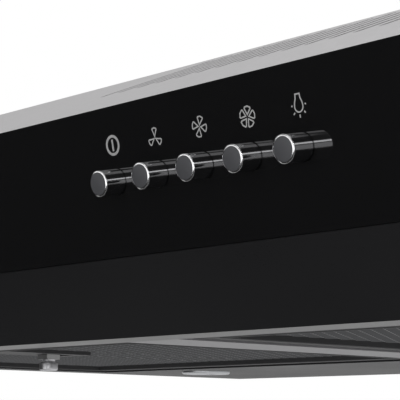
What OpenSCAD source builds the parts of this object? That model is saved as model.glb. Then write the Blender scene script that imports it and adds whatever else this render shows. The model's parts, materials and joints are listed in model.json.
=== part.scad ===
// Under cabinet range hood, 600 mm wide, with a push button panel, two mesh filters,
// two lamps, a double inlet blower and a round outlet collar with damper flaps.
// +X is to the right seen from the front, +Y goes back to the wall, +Z is up.
// The origin is the centre of the cabinet screw pattern on the flat top face.

/* [Canopy] */
// Overall width of the hood
body_w = 600; // [560:10:900]
// Depth of the flat top, from its front edge to the wall
top_d = 220; // [200:5:260]
// Horizontal run of the sloped front of the top
slope_run = 162; // [120:1:200]
// Slope of the front of the top, in degrees
slope_angle = 23; // [15:1:25]
// Height of the glossy control panel, along its face
fascia_h = 58.7; // [50:0.1:70]
// Overhang of the control panel from the vertical, in degrees
fascia_lean = 12; // [5:1:15]
// Length of the lower front face, along its face
lower_h = 33.5; // [25:0.5:45]
// Lean of the lower front face from the vertical, in degrees
lower_lean = 24; // [18:1:30]
// Thickness of the folded steel sheets
sheet_t = 1; // [0.8:0.1:1.2]
// Thickness of the two front panels
panel_t = 1.5; // [1.2:0.1:2]
// Groove between the two front panels
groove = 0.5; // [0.3:0.1:1]
// Width of the inturned sill behind the lower front face
sill_w = 19; // [15:0.5:22]

/* [Air slots] */
// Distance between neighbouring slots
slot_pitch = 13.4; // [10:0.1:20]
// Width of a slot
slot_w = 4.4; // [3:0.1:6]
// Length of a slot, along the slope
slot_len = 74; // [40:1:80]
// Distance from the front edge to the slots, along the slope
slot_start = 83; // [70:1:95]
// Number of slots
slot_count = 23; // [10:1:24]
// Place of the first slot across the hood
slot_first_x = -74; // [-150:1:-50]

/* [Buttons] */
// Distance between neighbouring buttons
button_pitch = 25; // [20:0.5:30]
// Place of the first button across the hood
button_first_x = 23.7; // [-200:0.1:60]
// Radius of a button
button_r = 5.05; // [4:0.05:6]
// How far a button stands out of the panel
button_out = 9.9; // [6:0.1:12]
// Travel of a button
button_travel = 3.5; // [2:0.1:4]
// Radius of the hole for a button in the control panel
button_hole_r = 5.3; // [5.3:0.05:7]

/* [Filters] */
// Depth of a mesh filter
filter_d = 198; // [150:1:198]
// Thickness of a mesh filter
filter_t = 9; // [6:0.5:10]
// Width of a filter frame's border
border_w = 12; // [8:1:15]
// Width of the bar between the filters
bar_w = 32; // [24:1:40]

/* [Lamps] */
// Distance of a lamp from the centre
lamp_x = 222; // [180:1:240]
// Place of the lamps from front to back
lamp_y = 6; // [5:1:60]
// Radius of a lamp's opening
lamp_r = 11; // [10:1:28]

/* [Blower] */
// Radius of the impeller
impeller_r = 50; // [44:1:50]
// Width of the impeller
impeller_w = 100; // [80:1:100]
// Number of impeller blades
blade_count = 28; // [20:1:40]
// Radius of the motor
motor_r = 34; // [28:1:36]
// Radius of the shaft
shaft_r = 4; // [3:0.5:5]

/* [Outlet] */
// Outside radius of the outlet collar
collar_r = 60; // [50:0.5:60]
// Height of the collar above the top
collar_h = 45; // [40:1:60]
// Place of the collar from front to back
collar_y = 32; // [0:1:36]

/* [Mounting] */
// Distance between the cabinet screws across the hood
screw_x = 520; // [480:5:560]
// Distance between the cabinet screws from front to back
screw_y = 160; // [120:5:180]
// Radius of the holes for the cabinet screws
screw_hole_r = 2.75; // [2:0.05:4]

/* [Hidden] */
$fn = 64;
fit = 0.08;          // radial clearance of the running fits
side_gap = 0.5;      // clearance beside inner flanges

back_y = top_d / 2;
inner_w = body_w - 2 * sheet_t;
slope_u = [cos(slope_angle), sin(slope_angle)];
slope_n = [sin(slope_angle), -cos(slope_angle)];
fascia_u = [sin(fascia_lean), -cos(fascia_lean)];
fascia_n = [cos(fascia_lean), sin(fascia_lean)];
lower_u = [sin(lower_lean), -cos(lower_lean)];
lower_n = [cos(lower_lean), sin(lower_lean)];

// Side view corners of the canopy, as [y, z]
brow = [-back_y, 0];
nose = brow - slope_run * [1, tan(slope_angle)];
crease = nose + fascia_h * fascia_u;
sill = crease + lower_h * lower_u;
base_z = sill[1];
roof_in = nose + sheet_t * slope_n;
brow_in = brow + sheet_t * [tan(slope_angle / 2), -1];
fascia_back = nose + panel_t * fascia_n;
sill_in = meet(sill + panel_t * lower_n, lower_u, [0, base_z], [1, 0]);

filter_y0 = -226;
filter_y1 = filter_y0 + filter_d;
filter_x0 = bar_w / 2 + 1.5;
filter_x1 = inner_w / 2 - 16.5;
filter_z0 = base_z + 0.8;
filter_z1 = filter_z0 + filter_t;
mesh_z0 = filter_z0 + 2;
mesh_z1 = filter_z1 - 2;
pivot_y = filter_y1 - 2;
pivot_z = base_z + 5;
pivot_r = 2;
rear_y = filter_y1 + 3;
rear_screw_x = [-130, -45, 45, 130];
rear_screw_y = 92;

button_mid = nose + fascia_h / 2 * fascia_u;
bevel = 0.4;
button_face_r = 0.78 * button_r;
guide_z0 = panel_t;
guide_z1 = panel_t + 9;
switch_z0 = guide_z1 + 6;
switch_z1 = switch_z0 + 16;
stem_r = 2;
control_w = 4 * button_pitch + 26;
control_x = button_first_x + 2 * button_pitch;

axle_y = collar_y - 32;
axle_z = -78;
scroll_r0 = impeller_r + 4;
scroll_r1 = impeller_r + 22;
scroll_w = impeller_w + 10;
plate_t = 1.2;
inlet_r = impeller_r - 8;
outlet_y0 = axle_y - 8;

flap_r = collar_r - 3.5;
flap_z = 10;
flap_pin_r = 1.5;
flange_t = 1.5;
flange_r = collar_r + 12;
collar_bore_r = collar_r - 1.5;
terminal_y = 78;

latch_x = (filter_x0 + filter_x1) / 2;
latch_w = 26;
latch_y1 = filter_y0 + border_w + 62;
slide_w = 16;
slide_z0 = mesh_z0 + 0.3;
slide_t = 2;
latch_travel = 6;
knob_y = -169;
knob_r = 4.7;

// Point where the line through p along u meets the line through q along v
function meet(p, u, q, v) =
  p + u * ((q - p)[0] * v[1] - (q - p)[1] * v[0]) / (u[0] * v[1] - u[1] * v[0]);

// Side view outline of the scroll: down the tongue, round the impeller, up the rear wall
function scroll_points(grow) = concat(
  [[outlet_y0 - grow, -sheet_t]],
  [for (a = [98:9:359]) let (r = scroll_r0 + grow + (scroll_r1 - scroll_r0) * (a - 90) / 270)
    [axle_y + r * cos(a), axle_z + r * sin(a)]],
  [[axle_y + scroll_r1 + grow, axle_z], [axle_y + scroll_r1 + grow, -sheet_t]]
);

// Prism along X, centred, from a [y, z] outline
module prism_x(w, points) {
  rotate([90, 0, 90]) translate([0, 0, -w / 2]) linear_extrude(w) polygon(points);
}

// Box from its lowest and highest corners
module box(low, high) {
  translate(low) cube(high - low);
}

// Children's +Z points into the hood, at right angles to the control panel, at x across
module at_panel(x) {
  translate([x, button_mid[0], button_mid[1]]) rotate([fascia_lean - 90, 0, 0]) children();
}

// Cylinder along X from x0 to x1
module rod_x(x0, x1, y, z, r) {
  translate([x0, y, z]) rotate([0, 90, 0]) cylinder(h = x1 - x0, r = r);
}

// Pan head screw: head above z = 0, shank below
module pan_screw(head_r, shank_r, shank_len) {
  rotate_extrude() polygon([
    [0, -shank_len], [shank_r, -shank_len], [shank_r, 0], [head_r, 0],
    [head_r, 0.45 * head_r], [0.7 * head_r, 0.65 * head_r], [0, 0.7 * head_r]
  ]);
}

// The left one is drawn, the right one is its mirror image
module on_side(side) {
  if (side == "right") mirror([1, 0, 0]) children();
  else children();
}

module cabinet_holes() {
  for (x = [-1, 1], y = [-1, 1])
    translate([x * screw_x / 2, y * screw_y / 2, -2 * sheet_t])
      cylinder(h = 4 * sheet_t, r = screw_hole_r);
}

module air_slots() {
  for (i = [0:slot_count - 1])
    translate([slot_first_x + i * slot_pitch, nose[0], nose[1]]) rotate([slope_angle, 0, 0]) {
      box([-slot_w / 2, slot_start, -3], [slot_w / 2, slot_start + slot_len, 3]);
      for (y = [slot_start, slot_start + slot_len])
        translate([0, y, -3]) cylinder(h = 6, r = slot_w / 2, $fn = 24);
    }
}

module top_shell() {
  front_out = meet(fascia_back, fascia_u, nose, slope_u);
  front_in = meet(fascia_back, fascia_u, roof_in, slope_u);
  flange_in = meet(fascia_back + sheet_t * fascia_n, fascia_u, roof_in, slope_u);
  flange_h = 12;
  color("lightgray") difference() {
    union() {
      prism_x(body_w, [front_out, brow, [back_y, 0], [back_y, -sheet_t], brow_in, front_in]);
      prism_x(inner_w - side_gap, [
        front_in, flange_in, flange_in + flange_h * fascia_u,
        flange_in + flange_h * fascia_u - sheet_t * fascia_n
      ]);
    }
    air_slots();
    cabinet_holes();
    translate([0, collar_y, -2 * sheet_t]) cylinder(h = 4 * sheet_t, r = collar_bore_r, $fn = 128);
    translate([200, terminal_y, -2 * sheet_t]) cylinder(h = 4 * sheet_t, r = 8);
  }
}

// Left side panel with its bottom flange and the ear that holds the filter's pin
module side_panel() {
  front_in = meet(fascia_back, fascia_u, roof_in, slope_u);
  crease_in = meet(fascia_back, fascia_u, sill_in, lower_u);
  flange_w = inner_w / 2 - filter_x1 - 0.5;
  ear_x = -inner_w / 2 + flange_w - 1.5;
  color("dimgray") difference() {
    union() {
      translate([-inner_w / 2 - sheet_t / 2, 0, 0])
        prism_x(sheet_t, [
          front_in, brow_in, [back_y - sheet_t, -sheet_t], [back_y - sheet_t, base_z],
          sill_in, crease_in
        ]);
      box([-inner_w / 2 - sheet_t / 2, sill[0] + sill_w, base_z],
          [-inner_w / 2 + flange_w, rear_y, base_z + sheet_t]);
      box([ear_x, pivot_y - 6, base_z + sheet_t / 2], [ear_x + 1.5, rear_y - 0.5, base_z + 10]);
    }
    rod_x(ear_x - 1, ear_x + 3, pivot_y, pivot_z, pivot_r + fit);
  }
}

module back_panel() {
  color("dimgray") box([-body_w / 2, back_y - sheet_t, base_z], [body_w / 2, back_y, -sheet_t]);
}

module control_fascia() {
  top_in = meet(fascia_back, fascia_u, nose, slope_u);
  color("black") difference() {
    prism_x(body_w, [nose, top_in, crease + panel_t * fascia_n, crease]);
    for (i = [0:4]) at_panel(button_first_x + i * button_pitch) translate([0, 0, -1])
      cylinder(h = panel_t + 2, r = button_hole_r);
  }
}

module lower_fascia() {
  lip = crease + groove * lower_u;
  lip_in = meet(sill_in, lower_u, lip, fascia_n);
  crease_in = meet(fascia_back, fascia_u, sill_in, lower_u);
  flange_back = fascia_back + sheet_t * fascia_n;
  flange_in = meet(flange_back, fascia_u, sill_in, lower_u);
  flange_h = 11;
  sill_up = meet(sill_in, lower_u, [0, base_z + sheet_t], [1, 0]);
  color([0.13, 0.13, 0.14]) union() {
    prism_x(body_w, [lip, sill, sill_in, lip_in]);
    prism_x(inner_w - side_gap, [
      crease_in, flange_in, crease_in - flange_h * fascia_u + sheet_t * fascia_n,
      crease_in - flange_h * fascia_u
    ]);
    prism_x(inner_w - side_gap, [
      sill_in, [sill[0] + sill_w, base_z], [sill[0] + sill_w, base_z + sheet_t], sill_up
    ]);
  }
}

module centre_bar() {
  color("silver") difference() {
    union() {
      box([-bar_w / 2, sill[0] + sill_w, base_z], [bar_w / 2, rear_y, base_z + sheet_t]);
      for (s = [-1, 1])
        translate([s * (bar_w / 2 - 0.75), 0, 0])
          box([-0.75, sill[0] + sill_w, base_z + sheet_t / 2], [0.75, rear_y, base_z + 10]);
    }
    rod_x(-bar_w, bar_w, pivot_y, pivot_z, pivot_r + fit);
  }
}

module rear_panel() {
  color([0.2, 0.2, 0.21]) difference() {
    union() {
      box([-inner_w / 2, rear_y, base_z], [inner_w / 2, back_y - sheet_t, base_z + sheet_t]);
      box([-inner_w / 2, rear_y, base_z], [inner_w / 2, rear_y + sheet_t, base_z + 11]);
    }
    for (s = [-1, 1]) translate([s * lamp_x, lamp_y, base_z - 1]) cylinder(h = 4, r = lamp_r);
    for (x = rear_screw_x) translate([x, rear_screw_y, base_z - 1]) cylinder(h = 4, r = 2);
  }
}

module rear_panel_screws() {
  color("silver") for (x = rear_screw_x)
    translate([x, rear_screw_y, base_z]) rotate([180, 0, 0]) pan_screw(3.6, 1.9, 8);
}

// Moulded carrier that guides the buttons behind the panel
module button_guide() {
  color([0.1, 0.1, 0.1]) at_panel(control_x) difference() {
    translate([-control_w / 2, -8, guide_z0]) cube([control_w, 16, guide_z1 - guide_z0]);
    for (i = [-2:2]) translate([i * button_pitch, 0, guide_z0 - 1])
      cylinder(h = guide_z1 - guide_z0 + 2, r = button_r + fit);
  }
}

module switch_block() {
  color([0.85, 0.83, 0.78]) at_panel(control_x) difference() {
    translate([-control_w / 2, -9, switch_z0]) cube([control_w, 18, switch_z1 - switch_z0]);
    for (i = [-2:2]) translate([i * button_pitch, 0, switch_z0 - 1])
      cylinder(h = 12, r = stem_r + fit);
  }
}

// Folded bracket: two side tabs carry the guide and the switch block
module switch_bracket() {
  tab_x = control_w / 2;
  color("silver") at_panel(control_x) difference() {
    for (s = [-1, 1]) scale([s, 1, 1]) {
      box([tab_x, -8, guide_z0], [tab_x + 1.2, 8, switch_z1]);
      box([tab_x, -8, guide_z0], [tab_x + 14, 8, guide_z0 + 1.2]);
    }
    for (s = [-1, 1]) translate([s * (tab_x + 8), 0, 0]) cylinder(h = 6, r = 1.6);
  }
}

module switch_screws() {
  color("silver") at_panel(control_x) for (s = [-1, 1])
    translate([s * (control_w / 2 + 8), 0, guide_z0 + 1.2]) pan_screw(3, 1.5, 1.2);
}

// Button body: bevelled barrel, shoulder behind the panel and stem to the switch
module button(i) {
  shoulder_z = guide_z1 + 1;
  color([0.12, 0.12, 0.13]) at_panel(button_first_x + i * button_pitch) rotate_extrude($fn = 96)
    polygon([
      [0, -button_out + 0.8], [button_face_r, -button_out + 0.8], [button_face_r, -button_out],
      [button_r, -button_out + bevel], [button_r, shoulder_z], [stem_r, shoulder_z],
      [stem_r, switch_z0 + 5], [0, switch_z0 + 5]
    ]);
}

module button_face(i) {
  color("gray") at_panel(button_first_x + i * button_pitch) translate([0, 0, -button_out])
    cylinder(h = 0.8, r = button_face_r, $fn = 96);
}

// Ring under the panel and tube through its hole
module lamp_bezel() {
  color("silver") translate([-lamp_x, lamp_y, base_z]) rotate_extrude($fn = 96) polygon([
    [lamp_r - 4, -1.6], [lamp_r + 3.4, -1.6], [lamp_r + 4, -1], [lamp_r + 4, 0],
    [lamp_r - 0.3, 0], [lamp_r - 0.3, 14], [lamp_r - 3, 14], [lamp_r - 3, 0.2], [lamp_r - 4, 0.2]
  ]);
}

module lamp_lens() {
  color("white") translate([-lamp_x, lamp_y, base_z + 0.2])
    cylinder(h = 2.8, r = lamp_r - 3.1, $fn = 96);
}

// Finned heat sink with the light board on its lower face
module lamp_module() {
  color("gainsboro") translate([-lamp_x, lamp_y, base_z]) union() {
    translate([0, 0, 8]) cylinder(h = 8, r = lamp_r - 3.1);
    for (i = [-3:3]) let (x = i * lamp_r / 4, half = lamp_r - 1)
      box([x - 0.6, -half, 15.5], [x + 0.6, half, 32]);
  }
}

module scroll_wrapper() {
  color("lightgray") prism_x(scroll_w, concat(
    scroll_points(0),
    [for (i = [len(scroll_points(0)) - 1:-1:0]) scroll_points(plate_t)[i]]
  ));
}

module scroll_plate(side) {
  x = side * (scroll_w + plate_t) / 2;
  color("lightgray") difference() {
    translate([x, 0, 0]) prism_x(plate_t, scroll_points(plate_t));
    rod_x(x - 2, x + 2, axle_y, axle_z, inlet_r);
  }
}

module motor_can() {
  color("gray") difference() {
    union() {
      rod_x(8, 62, axle_y, axle_z, motor_r);
      rod_x(62, 68, axle_y, axle_z, 12);
    }
    rod_x(7, 70, axle_y, axle_z, shaft_r + fit);
  }
}

// Three armed spider that holds the motor in the right inlet
module motor_mount() {
  x0 = scroll_w / 2 + plate_t;
  color("dimgray") difference() {
    union() {
      rod_x(x0, x0 + 2, axle_y, axle_z, motor_r + 4);
      for (a = [90:120:330]) translate([x0, axle_y, axle_z]) rotate([a, 0, 0])
        box([0, motor_r + 2, -6], [2, impeller_r + 3, 6]);
    }
    rod_x(x0 - 1, x0 + 3, axle_y, axle_z, motor_r);
  }
}

module motor_screws() {
  x0 = scroll_w / 2 + plate_t + 2;
  color("silver") for (a = [90:120:330]) translate([x0, axle_y, axle_z]) rotate([a, 0, 0])
    translate([0, impeller_r - 1, 0]) rotate([0, 90, 0])
      cylinder(h = 2.4, r = 3.2, $fn = 24);
}

module rotor_shaft() {
  color("silver") rod_x(-14, 66, axle_y, axle_z, shaft_r);
}

// Double inlet wheel: hub disc, two end rings and blades
module impeller() {
  half = impeller_w / 2;
  color([0.2, 0.2, 0.22]) difference() {
    union() {
      rod_x(-1, 1, axle_y, axle_z, impeller_r);
      rod_x(-12, 6, axle_y, axle_z, 9);
      for (s = [-1, 1]) difference() {
        rod_x(s * (half - 1.5) - 1.5, s * (half - 1.5) + 1.5, axle_y, axle_z, impeller_r);
        rod_x(s * (half - 1.5) - 3, s * (half - 1.5) + 3, axle_y, axle_z, inlet_r);
      }
      for (i = [0:blade_count - 1])
        translate([0, axle_y, axle_z]) rotate([i * 360 / blade_count, 0, 0])
          translate([0, impeller_r - 1.5, 0]) rotate([30, 0, 0])
            box([-half + 1, -7.6, -0.5], [half - 1, 0, 0.5]);
    }
    rod_x(-20, 20, axle_y, axle_z, shaft_r);
  }
}

module capacitor() {
  color("whitesmoke") translate([-120, 60, -sheet_t - 46]) union() {
    cylinder(h = 46, r = 15);
    translate([0, 0, -3]) cylinder(h = 3.5, r = 12);
  }
}

module terminal_box() {
  color([0.15, 0.15, 0.16]) difference() {
    box([150, 62, -46], [232, 108, -sheet_t]);
    box([152, 64, -50], [230, 106, -3]);
    translate([200, terminal_y, -5]) cylinder(h = 10, r = 8);
  }
}

module terminal_cover() {
  color([0.15, 0.15, 0.16]) box([150, 62, -48], [232, 108, -46]);
}

// Rubber grommet round the cable hole in the top
module cable_grommet() {
  color([0.08, 0.08, 0.08]) translate([200, terminal_y, 0]) rotate_extrude() polygon([
    [4.5, -4], [7.9, -4], [7.9, 0], [11, 0], [11, 1.2], [10, 2], [4.5, 2]
  ]);
}

// Round tube with the stops that the damper flaps rest on
module outlet_collar() {
  color("lightgray") translate([0, collar_y, 0]) difference() {
    translate([0, 0, flange_t]) cylinder(h = collar_h - flange_t, r = collar_r, $fn = 128);
    difference() {
      translate([0, 0, flange_t - 1])
        cylinder(h = collar_h + 2, r = collar_bore_r, $fn = 128);
      for (s = [-1, 1])
        translate([s * (collar_bore_r - 1.5), 0, flap_z - 3.6]) cube([6, 14, 6], center = true);
    }
    translate([0, 0, flap_z]) rotate([90, 0, 0])
      cylinder(h = 2 * collar_r + 4, r = flap_pin_r, center = true);
  }
}

// Ring that holds the collar on the top
module collar_flange() {
  color("lightgray") translate([0, collar_y, 0]) difference() {
    cylinder(h = flange_t, r = flange_r, $fn = 128);
    translate([0, 0, -1]) cylinder(h = flange_t + 2, r = collar_bore_r, $fn = 128);
    for (a = [45:90:315]) rotate(a) translate([collar_r + 7, 0, -1]) cylinder(h = 4, r = 1.8);
  }
}

module collar_screws() {
  color("silver") translate([0, collar_y, flange_t]) for (a = [45:90:315]) rotate(a)
    translate([collar_r + 7, 0, 0]) pan_screw(3.2, 1.7, flange_t);
}

module damper_pin() {
  color("silver") translate([0, collar_y, flap_z]) rotate([90, 0, 0])
    cylinder(h = 2 * collar_r - 0.4, r = flap_pin_r, center = true);
}

// Half disc with two knuckles on the pin; the other flap's knuckles go between them
module damper_flap(side) {
  pin_gap = 3.6;
  knuckles = [[-50, -34], [-8, 8], [34, 50]];
  others = [[-33, -9], [9, 33]];
  color("silver") translate([0, collar_y, flap_z]) difference() {
    union() {
      intersection() {
        translate([0, 0, -0.5]) cylinder(h = 1, r = flap_r, $fn = 128);
        box([side > 0 ? pin_gap : -collar_r, -collar_r, -1], [side > 0 ? collar_r : -pin_gap,
          collar_r, 1]);
      }
      for (k = side > 0 ? knuckles : others) {
        translate([0, k[1], 0]) rotate([90, 0, 0]) cylinder(h = k[1] - k[0], r = 2.8);
        box([side > 0 ? 0 : -pin_gap - 1, k[0], -0.5], [side > 0 ? pin_gap + 1 : 0, k[1], 0.5]);
      }
    }
    rotate([90, 0, 0]) cylinder(h = 2 * collar_r, r = flap_pin_r + fit, center = true);
  }
}

// Folded aluminium border with the two pivot pins at its rear corners
module filter_frame() {
  color("silver") union() {
    difference() {
      box([-filter_x1, filter_y0, filter_z0], [-filter_x0, filter_y1, filter_z1]);
      box([-filter_x1 + border_w, filter_y0 + border_w, filter_z0 - 1],
          [-filter_x0 - border_w, filter_y1 - border_w, filter_z1 + 1]);
      box([-latch_x - slide_w / 2 - 0.3, filter_y0 - 1, slide_z0 - 0.3],
          [-latch_x + slide_w / 2 + 0.3, filter_y0 + border_w + 1, slide_z0 + slide_t + 0.3]);
    }
    rod_x(-filter_x1 - 3.4, -filter_x1 + 1, pivot_y, pivot_z, pivot_r);
    rod_x(-filter_x0 - 1, -filter_x0 + 3.4, pivot_y, pivot_z, pivot_r);
  }
}

module filter_mesh() {
  color("darkgray") difference() {
    box([-filter_x1 + border_w, filter_y0 + border_w, mesh_z0],
        [-filter_x0 - border_w, filter_y1 - border_w, mesh_z1]);
    box([-latch_x - latch_w / 2, filter_y0, mesh_z0 - 1], [-latch_x + latch_w / 2, latch_y1,
      mesh_z1 + 1]);
  }
}

// Housing let into the mesh, with the channel and slot for the latch
module latch_housing() {
  y0 = filter_y0 + border_w;
  color([0.12, 0.12, 0.13]) difference() {
    box([-latch_x - latch_w / 2, y0, filter_z0 + 0.6], [-latch_x + latch_w / 2, latch_y1, mesh_z1]);
    box([-latch_x - slide_w / 2 - 0.3, y0 - 1, slide_z0 - 0.3],
        [-latch_x + slide_w / 2 + 0.3, latch_y1 - 4, slide_z0 + slide_t + 0.3]);
    box([-latch_x - 5, knob_y - 5, filter_z0 - 1], [-latch_x + 5, knob_y + 5 + latch_travel + 1,
      slide_z0]);
  }
}

module latch_slide() {
  color("silver") union() {
    box([-latch_x - slide_w / 2, filter_y0 - 0.3, slide_z0], [-latch_x + slide_w / 2, knob_y + 6,
      slide_z0 + slide_t]);
    box([-latch_x - 4, knob_y - 4, base_z - 1], [-latch_x + 4, knob_y + 4, slide_z0 + 0.5]);
  }
}

// Small round pull with a neck and softened edges
module latch_knob() {
  color("silver") translate([-latch_x, knob_y, base_z - 1]) rotate_extrude($fn = 64) polygon([
    [0, 0], [knob_r - 1.4, 0], [knob_r - 1.6, -0.8], [knob_r - 0.4, -1.4], [knob_r, -2],
    [knob_r, -4.6], [knob_r - 0.8, -5.5], [0, -5.6]
  ]);
}

top_shell();
on_side("left") side_panel();  // side_panel_left
on_side("right") side_panel();  // side_panel_right
back_panel();
control_fascia();
lower_fascia();
centre_bar();
rear_panel();
rear_panel_screws();
button_guide();
switch_block();
switch_bracket();
switch_screws();
on_side("left") lamp_bezel();  // lamp_bezel_left
on_side("right") lamp_bezel();  // lamp_bezel_right
on_side("left") lamp_lens();  // lamp_lens_left
on_side("right") lamp_lens();  // lamp_lens_right
on_side("left") lamp_module();  // lamp_module_left
on_side("right") lamp_module();  // lamp_module_right
scroll_wrapper();
scroll_plate(-1);  // scroll_plate_left
scroll_plate(1);  // scroll_plate_right
motor_can();
motor_mount();
motor_screws();
capacitor();
terminal_box();
terminal_cover();
cable_grommet();
outlet_collar();
collar_flange();
collar_screws();
damper_pin();
damper_flap(-1);  // damper_flap_left
damper_flap(1);  // damper_flap_right
impeller();
rotor_shaft();
on_side("left") filter_frame();  // filter_frame_left
on_side("right") filter_frame();  // filter_frame_right
on_side("left") filter_mesh();  // filter_mesh_left
on_side("right") filter_mesh();  // filter_mesh_right
on_side("left") latch_housing();  // latch_housing_left
on_side("right") latch_housing();  // latch_housing_right
on_side("left") latch_slide();  // latch_slide_left
on_side("right") latch_slide();  // latch_slide_right
on_side("left") latch_knob();  // latch_knob_left
on_side("right") latch_knob();  // latch_knob_right
button(0);  // button_power
button(1);  // button_low
button(2);  // button_medium
button(3);  // button_high
button(4);  // button_lamp
button_face(0);  // button_face_power
button_face(1);  // button_face_low
button_face(2);  // button_face_medium
button_face(3);  // button_face_high
button_face(4);  // button_face_lamp
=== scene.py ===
"""Visual model of an under cabinet range hood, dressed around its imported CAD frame."""

from __future__ import annotations

import json
import logging
import math
from collections.abc import Callable, Sequence
from dataclasses import dataclass, field
from enum import Enum

import bmesh
import bpy
from mathutils import Matrix, Vector


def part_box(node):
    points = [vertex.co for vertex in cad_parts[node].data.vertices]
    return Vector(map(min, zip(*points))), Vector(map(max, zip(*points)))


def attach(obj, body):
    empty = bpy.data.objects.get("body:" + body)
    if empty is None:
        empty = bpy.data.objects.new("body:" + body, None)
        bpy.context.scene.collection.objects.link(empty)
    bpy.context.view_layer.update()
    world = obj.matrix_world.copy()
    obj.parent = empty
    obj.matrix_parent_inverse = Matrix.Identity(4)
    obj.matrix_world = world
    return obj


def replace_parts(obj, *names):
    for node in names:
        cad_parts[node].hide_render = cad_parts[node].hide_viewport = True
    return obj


Colour = tuple[float, float, float]
Profile = Sequence[tuple[float, float]]

log = logging.getLogger("hood")
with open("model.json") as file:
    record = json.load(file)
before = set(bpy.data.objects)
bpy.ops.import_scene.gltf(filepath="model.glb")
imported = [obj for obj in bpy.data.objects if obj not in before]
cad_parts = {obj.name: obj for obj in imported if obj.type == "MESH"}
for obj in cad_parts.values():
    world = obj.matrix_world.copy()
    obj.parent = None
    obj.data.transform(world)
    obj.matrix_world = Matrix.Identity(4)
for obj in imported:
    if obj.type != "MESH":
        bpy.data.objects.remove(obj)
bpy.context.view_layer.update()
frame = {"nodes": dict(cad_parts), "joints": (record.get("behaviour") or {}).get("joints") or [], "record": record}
MM = 0.001


class Grain(Enum):
    """Surface textures that a finish can carry."""

    FINE = "fine"
    BRUSHED_X = "brushed_x"
    BRUSHED_Y = "brushed_y"
    SPANGLE = "spangle"
    ORANGE_PEEL = "orange_peel"
    MOULDED = "moulded"
    CAST = "cast"


class Side(Enum):
    """Left and right halves of the hood, seen from the front."""

    LEFT = "left"
    RIGHT = "right"


class Graph:
    """Adds and links the shader nodes of one tree."""

    def __init__(self, tree: bpy.types.NodeTree) -> None:
        """Empties the tree.

        Args:
            tree: the node tree to build in.
        """
        self.tree = tree
        tree.nodes.clear()

    def add(self, kind: str, settings: dict | None = None, **inputs: object) -> bpy.types.Node:
        """Adds a node.

        Args:
            kind: the node's type name.
            settings: attributes of the node.
            inputs: values for its sockets, with spaces written as underscores.

        Returns:
            The new node.
        """
        node = self.tree.nodes.new(kind)
        for key, value in (settings or {}).items():
            setattr(node, key, value)
        for key, value in inputs.items():
            node.inputs[key.replace("_", " ")].default_value = value
        return node

    def link(self, source: bpy.types.NodeSocket, target: bpy.types.NodeSocket) -> None:
        """Joins two sockets.

        Args:
            source: the output socket.
            target: the input socket.
        """
        self.tree.links.new(source, target)


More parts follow.
